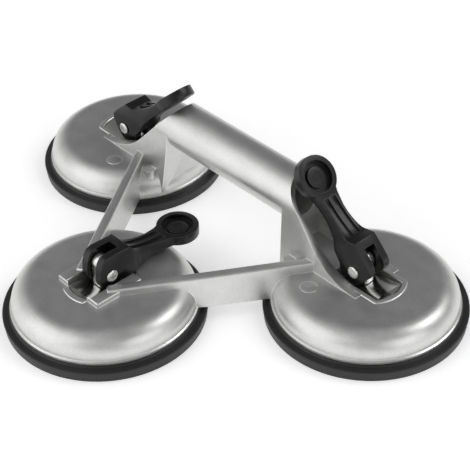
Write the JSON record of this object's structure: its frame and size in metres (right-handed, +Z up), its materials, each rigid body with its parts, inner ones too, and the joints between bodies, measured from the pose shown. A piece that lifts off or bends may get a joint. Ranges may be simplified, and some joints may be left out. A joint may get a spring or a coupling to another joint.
{
  "type": "vacuum suction cup lifter",
  "caption": "Cast aluminium suction lifter: round domed heads with rubber discs and black cam levers, joined by a tubular handle and two ribs.",
  "frame": {"origin": "on the floor, under the middle of the bounding box", "axes": "+X along the handle from head A to head B, +Y from head C towards the handle, +Z up from the surface the discs stand on"},
  "size_m": [0.3276, 0.2276, 0.0843],
  "materials": {
    "cast_aluminium": "satin, sanded tops and brighter rounded shoulders",
    "black_rubber": "smooth moulded, slightly glossy",
    "black_plastic": "moulded, soft sheen",
    "zinc_steel": "bright zinc plated",
    "polished_steel": "polished sheet"
  },
  "bodies": {
    "casting": {"cast_frame": "cast_aluminium", "rubber_disc_a": "black_rubber", "rubber_disc_b": "black_rubber", "rubber_disc_c": "black_rubber", "seat_plate_a": "polished_steel", "seat_plate_b": "polished_steel", "seat_plate_c": "polished_steel"},
    "core_a": {"core_plate_a": "zinc_steel", "tongue_a": "zinc_steel", "pivot_screw_a": "zinc_steel", "sleeve_nut_a": "zinc_steel"},
    "core_b": {"core_plate_b": "zinc_steel", "tongue_b": "zinc_steel", "pivot_screw_b": "zinc_steel", "sleeve_nut_b": "zinc_steel"},
    "core_c": {"core_plate_c": "zinc_steel", "tongue_c": "zinc_steel", "pivot_screw_c": "zinc_steel", "sleeve_nut_c": "zinc_steel"},
    "handle_a": {"lever_a": "black_plastic"},
    "handle_b": {"lever_b": "black_plastic"},
    "handle_c": {"lever_c": "black_plastic"}
  },
  "joints": [
    {"name": "core_slide_a", "type": "slide", "parent": "casting", "child": "core_a", "axis": [0, 0, 1], "range_m": [-0.00191, 0], "deforming": ["rubber_disc_a"]},
    {"name": "core_slide_b", "type": "slide", "parent": "casting", "child": "core_b", "axis": [0, 0, 1], "range_m": [-0.00191, 0], "deforming": ["rubber_disc_b"]},
    {"name": "core_slide_c", "type": "slide", "parent": "casting", "child": "core_c", "axis": [0, 0, 1], "range_m": [-0.00191, 0], "deforming": ["rubber_disc_c"]},
    {"name": "lever_hinge_a", "type": "hinge", "parent": "core_a", "child": "handle_a", "pos_m": [-0.1016, 0.0542, 0.0319], "axis": [0, -1, 0], "range_deg": [0, 48]},
    {"name": "lever_hinge_b", "type": "hinge", "parent": "core_b", "child": "handle_b", "pos_m": [0.1016, 0.0542, 0.0319], "axis": [0, 1, 0], "range_deg": [0, 44]},
    {"name": "lever_hinge_c", "type": "hinge", "parent": "core_c", "child": "handle_c", "pos_m": [0, -0.0542, 0.0319], "axis": [1, 0, 0], "range_deg": [0, 92]}
  ],
  "couplings": [
    {"joint": "core_slide_a", "follows": "lever_hinge_a", "m_per_rad": -0.002268},
    {"joint": "core_slide_b", "follows": "lever_hinge_b", "m_per_rad": -0.002474},
    {"joint": "core_slide_c", "follows": "lever_hinge_c", "m_per_rad": -0.001183}
  ]
}
